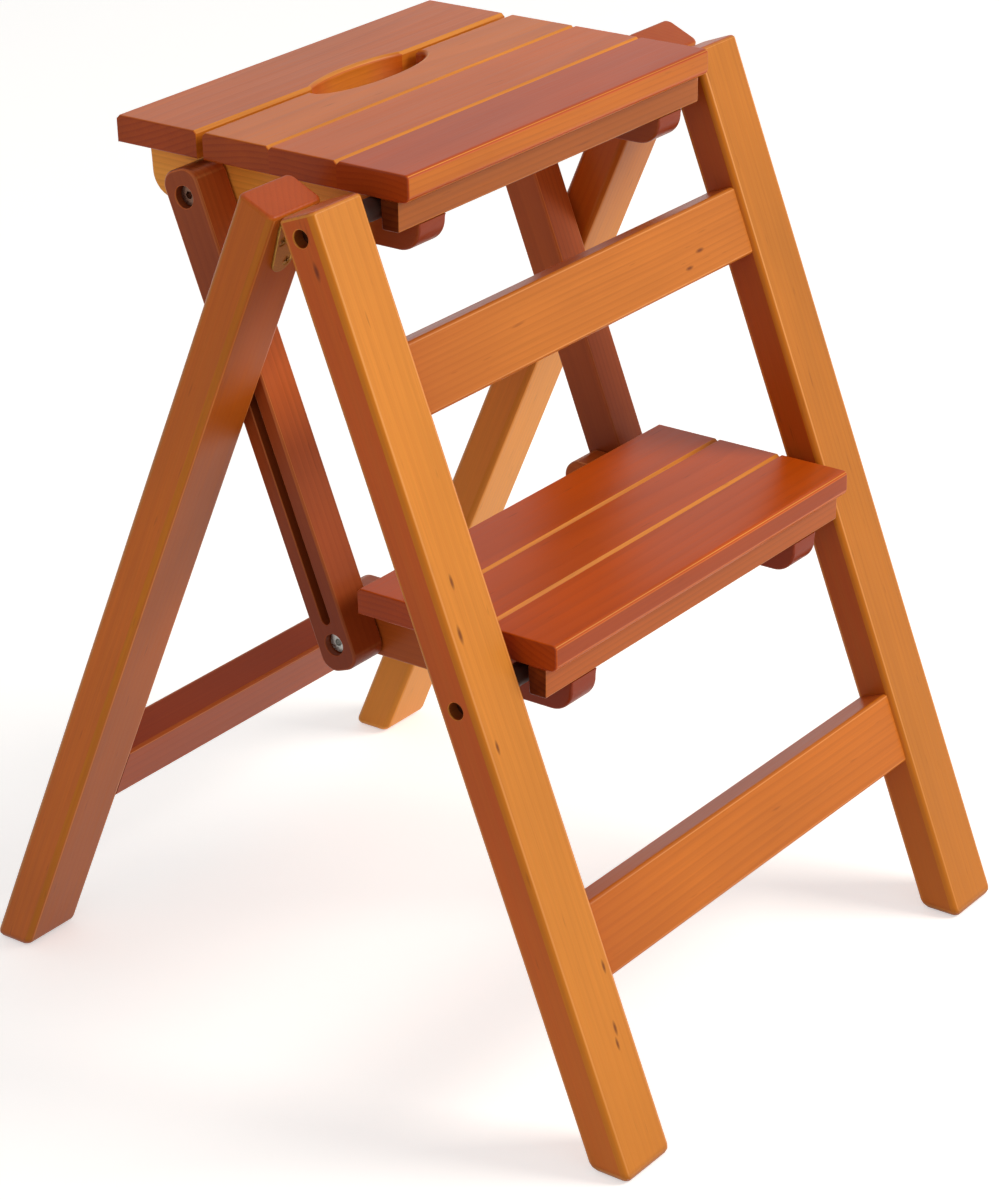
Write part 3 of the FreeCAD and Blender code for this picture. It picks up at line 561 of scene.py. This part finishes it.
def treadPieces():
    # Slats with bevelled grooves between them, rounded as one at their ends, and a strip under the front slat
    tread = {"thickness": 15.0, "groove": 1.7, "noseTop": 2.5, "noseLower": 4.5, "endEdge": 1.1,
             "noseBand": (0.66, 0.76), "grooveBand": (0.14, 0.86)}
    strip = {"setback": 7.0, "depth": 11.0, "height": 16.0, "edge": 1.2, "endEdge": 0.8}
    handHole = {"length": 98.0, "width": 34.0, "forward": 5.5, "rim": 2.8, "lowRim": 1.0}
    # slats from the front: name, width, the gap behind it and colour
    treads = {
        "seat": {"pivot": seatPivot, "above": 6.5, "half": 132.0, "nose": 25.0, "seed": 112,
                 "slats": [("front", 46.0, 0, "#BC4A0A"), ("middle_front", 44.5, 0, "#CE6010"),
                           ("middle_rear", 44.5, 4.5, "#D66E16"), ("rear", 55.0, 0, "#C86016")],
                 # the seat's faces that look forward and back, in the gap and on the nose, take a lighter side
                 # colour: painted light
                 "wood": {"side": "#D88A2A", "sideShare": 0.5},
                 "stripWood": {"face": "#AC5C1E", "seed": 140}},
        "step": {"pivot": stepPivot, "above": 9.0, "half": 138.0, "nose": 28.0, "seed": 120,
                 "slats": [("front", 45.0, 0, "#C85206"), ("middle", 42.2, 0, "#CB5406"),
                           ("rear", 42.2, 0, "#C65206")],
                 # the step's faces that look forward and back take a darker side colour: painted shade under the
                 # seat
                 "wood": {"side": "#9A4014", "sideShare": 0.8},
                 "stripWood": {"face": "#B85C1C", "seed": 149}}}
    # the gold band on the groove bevels and on the nose is a painted highlight
    common = {"sideAxis": 1, "band": "#E8983A", "lineShare": 0.25, "end": "#9E3C12"}
    # painted shade: the strips' ends are coloured near black-red
    commonStrip = {"end": "#4A1408", "pith": (60.0, 50.0), "bandShare": 0.0}
    g, edge = tread["groove"], tread["endEdge"]
    for name, t in treads.items():
        bottom = t["pivot"][2] + t["above"]
        top = bottom + tread["thickness"]
        noseY = t["pivot"][1] - t["nose"]
        low = noseY
        for number, (which, width, gap, colour) in enumerate(t["slats"]):
            high = low + width
            behind = [(high, bottom, 0.15), (high, top - g, 0.2), (high - g, top, 0.4)]
            if number == 0:
                corners = [(low, bottom, tread["noseLower"]), *behind, (low, top, tread["noseTop"])]
            else:
                corners = [(low, bottom, 0.15), *behind, (low + g, top, 0.4), (low, top - g, 0.2)]
            outline = outlineOf(corners, 15)
            inset = inwards(outline)
            joint = outline[:, 0] > (low + 8 if number == 0 else low - 1)
            inset[joint, 0] = 0  # the ends of neighbouring slats are rounded as one, above and below only
            part = sweep(outline, inset, -t["half"], t["half"], edge, edge)
            made = outwards(makeMesh(name + "_slat_" + which + "_board", turned(part[0], "yzx"), part[1]))
            if name == "seat" and which in ("middle_rear", "rear"):
                gapMiddle = noseY + sum(s[1] for s in t["slats"][:3]) + t["slats"][2][2] / 2
                carve(made, [handHoleCutter(handHole, gapMiddle - handHole["forward"], bottom, top)])
            look = dict(common, **t["wood"], face=colour, seed=t["seed"] + number * 7,
                        bandRange=tread["grooveBand"] if number else tread["noseBand"],
                        pith=(75.0 - 20 * number, 20.0 + 15 * number))
            wood = woodMaterial("stainedPine" + name.capitalize() + "Slat" + str(number), look, "x")
            finishPiece(made, name, wood, name + "_slat_" + which)
            low = high + gap
        front, r = noseY + strip["setback"], strip["edge"]
        back, under = front + strip["depth"], bottom - strip["height"]
        outline = outlineOf([(front, under, r), (back, under, r), (back, bottom, 0.2), (front, bottom, 0.2)], 20)
        inset = inwards(outline) * (outline[:, 1:] < bottom - 1)  # no rounding where it lies against the slat
        part = sweep(outline, inset, -t["half"], t["half"], strip["endEdge"], strip["endEdge"])
        made = outwards(makeMesh(name + "_front_strip_board", turned(part[0], "yzx"), part[1]))
        look = dict(commonStrip, **t["stripWood"])
        wood = woodMaterial("stainedPine" + name.capitalize() + "Strip", look, "x")
        finishPiece(made, name, wood, name + "_front_strip")
    print("treads")


def handHoleCutter(hole, centre, bottom, top):
    # An ellipse carried upwards, widened towards both mouths by rim (1 - cos u) to round the rims
    u = np.linspace(0, 2 * math.pi, 96, endpoint=False)
    v = np.linspace(0, math.pi / 2, 7)
    rim, lowRim = hole["rim"], hole["lowRim"]
    rows = [(lowRim, bottom - 2)]
    rows += [(lowRim * (1 - math.sin(x)), bottom + lowRim * (1 - math.cos(x))) for x in v]
    rows += [(rim * (1 - math.cos(x)), top - rim * (1 - math.sin(x))) for x in v]
    rows += [(rim, top + 2)]
    long, wide = hole["length"] / 2 - rim, hole["width"] / 2 - rim
    rings = [np.stack([(long + w) * np.cos(u), centre + (wide + w) * np.sin(u), np.full(len(u), z)], 1)
             for w, z in rows]
    return np.concatenate(rings), tubeFaces(len(rings), len(u))


treadPieces()


def battenPieces():
    # Bars under the slats, notched at the front for the strip, bored for the pivot bolt and the link bolt
    batten = {"nose": 14.0, "edge": 1.5, "setback": 7.0, "stripDepth": 11.0, "stripHeight": 16.0,
              "bore": 3.1, "nut": 6.4, "nutDepth": 5.3}
    # front and rear are measured from the pivot, and above is the slats' underside over it
    plans = {
        # the seat battens' pale gold is partly painted light on their outer faces
        "seat": {"pivot": seatPivot, "above": 6.5, "depth": 32.0, "front": -25.0, "rear": 162.0, "tail": 0.2,
                 "colour": "#F0A040", "seed": 160},
        "step": {"pivot": stepPivot, "above": 9.0, "depth": 34.5, "front": -28.0, "rear": 136.8, "tail": 10.0,
                 "colour": "#A8501A", "seed": 169}}
    inX, outX, edge = across["battenIn"], across["battenOut"], batten["edge"]
    for name, plan in plans.items():
        pivot = plan["pivot"]
        top = pivot[2] + plan["above"]
        front, rear = pivot[1] + plan["front"] + batten["setback"], pivot[1] + plan["rear"]
        low, floor, notch = top - plan["depth"], top - batten["stripHeight"], front + batten["stripDepth"]
        outline = outlineOf([(front, low, batten["nose"]), (rear, low, batten["nose"]), (rear, top, plan["tail"]),
                             (notch, top, 0), (notch, floor, 0), (front, floor, 0)], 7)
        inset = inwards(outline)
        covered = (outline[:, 1] > floor - 0.5) & ((outline[:, 0] < notch + 1) | (plan["tail"] < 1))
        inset[covered] = 0  # no rounding where the strip and the slats lie on the batten
        for side, sign in sides.items():
            part = sweep(outline, inset, inX, outX, edge, edge, spacing=30)
            part = (turned(part[0], "yzx"), part[1])
            holes = []
            for p in (pivot, pivot + linkTop - seatPivot):
                holes.append(moved(bored(batten["nut"], inX + batten["nutDepth"], inX), (0, p[1], p[2])))
                holes.append(moved(spun([(batten["bore"], 80), (batten["bore"], 130)]), (0, p[1], p[2])))
            if sign < 0:
                part = flipped(*part)
                holes = [flipped(*h) for h in holes]
            made = carve(outwards(makeMesh(name + "_batten_" + side + "_bar", *part)), holes)
            # painted shade: each batten darkens towards its front end, under the strip and beside the legs
            look = {"face": plan["colour"], "side": plan["colour"], "seed": plan["seed"] + 4 * sign,
                    "pith": (30.0, 80.0), "bandShare": 0.4,
                    "fades": [("y", pivot[1] + 40, pivot[1] + 10, "#8A3010", 0.9)]}
            wood = woodMaterial("stainedPine" + name.capitalize() + "Batten" + side.capitalize(), look, "y")
            finishPiece(made, name, wood, name + "_batten_" + side)
    print("battens")


battenPieces()


def linkPieces():
    # Bars with round corners, a blind slot along the outer face and a sunk hole for each bolt
    link = {"depth": 24.0, "reach": 15.0, "corner": 9.0, "edge": 1.5, "hole": 6.0, "holeDepth": 9.0,
            "slotWidth": 6.0, "slotDepth": 8.0, "slotLow": 14.54, "slotHigh": 150.34, "slotLip": 0.6,
            "shadeDeep": 4.4, "shadeSlot": 3.6, "shadeHole": 6.8}  # half sizes of the boxes of painted shade in slot and holes
    out, half, reach, edge = across["linkOut"], link["depth"] / 2, link["reach"], link["edge"]
    bolts = (linkTop, linkBottom)
    outline = rectangle(-half, -reach, half, np.linalg.norm(linkTop - linkBottom) + reach, link["corner"])
    middleZ = (linkTop[2] + linkBottom[2]) / 2
    slotMiddle = linkBottom + frontUp * (link["slotLow"] + link["slotHigh"]) / 2
    slotHalf = (link["slotHigh"] - link["slotLow"] + link["slotWidth"]) / 2
    for side, sign in sides.items():
        part = sweep(outline, inwards(outline), across["linkIn"], out, edge, edge, spacing=30)
        part = (turned(part[0], "yzx", linkBottom, -lean["front"]), part[1])
        holes = [moved(bored(link["hole"], out - link["holeDepth"], out), (0, p[1], p[2])) for p in bolts]
        holes.append(slotCutter(link, out))
        if sign < 0:
            part = flipped(*part)
            holes = [flipped(*h) for h in holes]
        made = carve(outwards(makeMesh("link_" + side + "_bar", *part)), holes)
        # painted shade inside the slot and the bolt holes
        shadeX = sign * (out - link["slotDepth"] / 2 - 1.0)
        deep, hole = link["shadeDeep"], link["shadeHole"]
        dark = [((shadeX, slotMiddle[1], slotMiddle[2]), (deep, link["shadeSlot"], slotHalf + 0.6))]
        dark += [((shadeX, p[1], p[2]), (deep, hole, hole)) for p in bolts]
        # painted shade: the left link's outer side colour is darker than the right link's, and both darken below
        # their middle, where the step shades them
        look = {"face": "#C0602A", "side": "#8A3A16" if sign < 0 else "#B0561E", "end": "#7A3014",
                "band": "#C0703A", "bandShare": 0.5, "seed": 190 + sign, "pith": (60.0, 30.0), "dark": dark,
                "fades": [("z", middleZ, middleZ - 100, "#6A2008", 0.6)]}
        wood = woodMaterial("stainedPineLink" + side.capitalize(), look, "z", lean["front"])
        finishPiece(made, "link_" + side, wood, "link_" + side)
    print("links")


def slotCutter(link, out):
    # A long oval in the side plane, widened at its mouth by lip (1 - cos u)
    w, lip = link["slotWidth"] / 2, link["slotLip"]
    u = np.linspace(0, math.pi, 17)
    ends = [np.stack([np.cos(u) * w, link["slotHigh"] + np.sin(u) * w], 1),
            np.stack([-np.cos(u) * w, link["slotLow"] - np.sin(u) * w], 1)]
    outline = np.concatenate(ends)
    normal = inwards(outline)
    v = np.linspace(0, math.pi / 2, 5)
    rows = [(0.0, out - link["slotDepth"])]
    rows += [(lip * (1 - math.cos(x)), out - lip * (1 - math.sin(x))) for x in v]
    rows += [(lip, out + 2)]
    rings = [np.column_stack([np.full(len(outline), x), outline - normal * grow]) for grow, x in rows]
    verts = turned(np.concatenate(rings), "xyz", linkBottom, -lean["front"])
    return verts, tubeFaces(len(rings), len(outline))


linkPieces()

# Hinges and fittings


def hingePieces():
    # Butt hinges of aged brass: a leaf on each leg, three knuckles on a pin, countersunk cross-slot screws
    hinge = {"middle": 166.0, "half": 12.0, "tip": 8.0, "length": 36.0, "shoulder": 7.0, "low": 0.7, "thick": 1.5,
             "barrel": 1.9, "pin": 1.1, "knuckle": 4.5, "notch": 2.15, "play": 0.25, "edge": 0.3,
             "screws": [(6.0, -14.8), (-2.6, -29.3)], "head": 3.0, "sunk": 0.35, "slot": (0.5, 2.1, 1.2)}
    k, play, notch, half = hinge["knuckle"], hinge["play"], -hinge["notch"], hinge["half"]
    barrel, h, s = hinge["barrel"], hinge["head"], hinge["sunk"]
    u = np.linspace(math.pi, 2 * math.pi, 19)
    tip = np.stack([hinge["tip"] * np.cos(u), hinge["tip"] * (np.sin(u) + 1) - hinge["length"]], 1)
    bottom = [(-half, -hinge["shoulder"])] + [tuple(v) for v in tip] + [(half, -hinge["shoulder"])]
    tops = {"rear": [(half, notch), (k, notch), (k, 0), (-k, 0), (-k, notch), (-half, notch)],
            "front": [(half, 0), (k + play, 0), (k + play, notch), (-k - play, notch), (-k - play, 0), (-half, 0)]}
    spans = {"rear": [(-k, k)], "front": [(-half, -k - play), (k + play, half)]}
    for frameSide, facing, turn in (("front", -1, -lean["front"]), ("rear", 1, lean["rear"])):
        outline = np.array(bottom + tops[frameSide])
        visible = facing * hinge["low"]
        low, high = sorted((visible, facing * (hinge["low"] + hinge["thick"])))
        plate = sweep(outline, inwards(outline), low, high, hinge["edge"], hinge["edge"], rounds=4)
        parts = [(turned(plate[0], "xzy"), plate[1])]
        for start, end in spans[frameSide]:
            parts.append(spun([(barrel - 0.25, start), (barrel, start + 0.25),
                               (barrel, end - 0.25), (barrel - 0.25, end)], 32))
        for side, sign in sides.items():
            sinks, screws, slots = [], [], []
            for x, z in hinge["screws"]:
                spot = (x * sign, visible, z)
                sink = spun([(h + 1.2, -facing * 0.8), (h + 0.35, 0), (1.9, facing * 1.5), (1.9, facing * 3)])
                sinks.append((turned(sink[0], "yxz", spot), sink[1]))
                screw = spun([(0.5, 12), (1.5, 10.5), (1.5, s + 1.5), (h, s + 0.25), (h, s + 0.1),
                              (h - 0.35, s - 0.05), (h * 0.5, s - 0.2)])
                screws.append((turned(screw[0] * (facing, 1, 1), "yxz", spot), screw[1]))
                thin, wide, deep = hinge["slot"]
                stopped = math.radians(35 + x * 6)  # each screw's cross has stopped at its own angle
                c, d = math.cos(stopped), math.sin(stopped)
                for a, b in ((thin, wide), (wide, thin)):
                    corners, faces = boxOf((-a, -1.0, -b), (a, deep, b))
                    v = corners.copy()
                    v[:, 0] = corners[:, 0] * c - corners[:, 2] * d
                    v[:, 2] = corners[:, 0] * d + corners[:, 2] * c
                    slots.append((v * (1, facing, 1) + spot, faces))
            leaf = outwards(makeMesh("hinge_leaf_" + frameSide + "_" + side + "_plate", *joined(parts)))
            carve(leaf, sinks)
            drive = outwards(makeMesh("hinge_screws_" + frameSide + "_" + side + "_heads", *joined(screws)))
            carve(drive, slots[0::2])  # one bar of each cross at a time, since crossing cutters empty the screw
            carve(drive, slots[1::2])
            place = hingePoint + (hinge["middle"] * sign, 0, 0)
            for made, node in ((leaf, "hinge_leaf_" + frameSide + "_" + side), (drive, "hinge_screws_" + frameSide)):
                verts = np.zeros(len(made.data.vertices) * 3)
                made.data.vertices.foreach_get("co", verts)
                verts = turned(verts.reshape(-1, 3) / mm, "xyz", place, turn) * mm
                made.data.vertices.foreach_set("co", verts.ravel())
                made.data.update()
                finishPiece(made, frameSide + "_frame", agedBrass, node)
    r = hinge["pin"]
    pin = spun([(r * 0.5, -half), (r, -half + 0.3), (r, half - 0.3), (r * 0.5, half)], 24)
    pins = [moved(pin, hingePoint + (hinge["middle"] * sign, 0, 0)) for sign in (-1, 1)]
    made = outwards(makeMesh("hinge_pins_brass", *joined(pins)))
    finishPiece(made, "front_frame", agedBrass, "hinge_pins")
    print("hinges")


hingePieces()

# the other fittings keep the frame's shapes and get their own materials
zincNodes = ("pivot_nuts", "link_bolts", "link_nuts", "link_washers", "guide_pins",
             "seat_slat_screws", "step_slat_screws")
for node, made in frame["nodes"].items():
    # the spacers take the near-black nylon, painted shade
    if node == "pivot_spacers":
        material = shadeDarkNylon
    elif node == "pivot_bolts":
        material = blackSteel
    elif node.startswith(zincNodes):
        material = zincSteel
    else:
        continue
    made.data.materials.clear()
    made.data.materials.append(material)
print("fittings")

# Camera, floor and lights


def whereSeen(tree):
    # 1 for what the camera, a reflection or clear material sees, and 0 for the light that falls on the object
    path = addNode(tree, "ShaderNodeLightPath")
    seen = path.outputs["Is Camera Ray"]
    for ray in ("Is Glossy Ray", "Is Transmission Ray"):
        seen = addNode(tree, "ShaderNodeMath", {"operation": "MAXIMUM", 0: seen, 1: path.outputs[ray]}).outputs[0]
    return seen


def stageSet():
    # the camera's place is measured from the floor under the front faces of the front legs; its focal length is
    # in pixels of a frame 1200 high
    shot = {"yaw": -52.2, "pitch": 24.77, "roll": -1.7, "focal": 3550.77, "frame": 1200.0, "sensor": 36.0,
            "place": (-1430.57, -892.49, 1041.54)}
    place = np.array(shot["place"]) + (0, frontOrigin[1], 0)
    yaw, pitch, roll = (math.radians(shot[k]) for k in ("yaw", "pitch", "roll"))
    back = np.array([math.sin(yaw) * math.cos(pitch), -math.cos(yaw) * math.cos(pitch), math.sin(pitch)])
    right = np.cross(-back, (0, 0, 1))
    right /= np.linalg.norm(right)
    up = np.cross(right, -back)
    rolledRight = right * math.cos(roll) + up * math.sin(roll)
    rolledUp = -right * math.sin(roll) + up * math.cos(roll)
    camera = bpy.data.objects.new("camera", bpy.data.cameras.new("camera"))
    bpy.context.scene.collection.objects.link(camera)
    matrix = Matrix.Identity(4)
    for row in range(3):
        matrix[row][0], matrix[row][1], matrix[row][2] = rolledRight[row], rolledUp[row], back[row]
        matrix[row][3] = place[row] * mm
    camera.matrix_world = matrix
    camera.data.sensor_fit = "AUTO"
    camera.data.sensor_width = shot["sensor"]
    camera.data.lens = shot["sensor"] * shot["focal"] / shot["frame"]
    camera.data.clip_end = 50
    bpy.context.scene.camera = camera

    floor = {"half": 12.0, "colour": "#F4F3F1", "lift": 0.5}
    h = floor["half"] / mm
    made = makeMesh("floor", np.array([(-h, -h, 0), (h, -h, 0), (h, h, 0), (-h, h, 0)]), [[0, 1, 2, 3]])
    material, tree = newMaterial("paleFloor")
    shine = addNode(tree, "ShaderNodeMath", {"operation": "MULTIPLY", 0: whereSeen(tree), 1: floor["lift"]})
    shader = addNode(tree, "ShaderNodeBsdfPrincipled", {
        "Base Color": toLinear(floor["colour"]), "Roughness": 0.8, "Emission Color": (1, 1, 1, 1),
        "Emission Strength": shine})
    addNode(tree, "ShaderNodeOutputMaterial", {"Surface": shader})
    made.data.materials.append(material)

    studio = {"onObject": 0.34, "seen": 1.0}
    world = bpy.data.worlds.new("studio")
    world.use_nodes = True
    tree = world.node_tree
    tree.nodes.clear()
    strength = addNode(tree, "ShaderNodeMapRange", {
        0: whereSeen(tree), 1: 0.0, 2: 1.0, 3: studio["onObject"], 4: studio["seen"]})
    sky = addNode(tree, "ShaderNodeBackground", {"Color": (1, 1, 1, 1), "Strength": strength})
    addNode(tree, "ShaderNodeOutputWorld", {"Surface": sky})
    bpy.context.scene.world = world

    lamps = [
        {"name": "key", "place": (1.5, -2.4, 2.2), "size": 1.5, "power": 75.0, "colour": "#FFF8EE"},
        {"name": "fill", "place": (-2.6, -0.6, 1.6), "size": 2.0, "power": 12.0, "colour": "#FFFFFF"},
    ]
    for lamp in lamps:
        light = bpy.data.lights.new(lamp["name"], "AREA")
        light.shape, light.size, light.energy = "SQUARE", lamp["size"], lamp["power"]
        light.color = toLinear(lamp["colour"])[:3]
        made = bpy.data.objects.new(lamp["name"], light)
        made.location = lamp["place"]
        aim = Vector((0, 0, 0.25)) - Vector(lamp["place"])
        made.rotation_euler = aim.to_track_quat("-Z", "Y").to_euler()
        bpy.context.scene.collection.objects.link(made)
    bpy.context.scene.view_settings.view_transform = "Standard"
    print("stage")


stageSet()
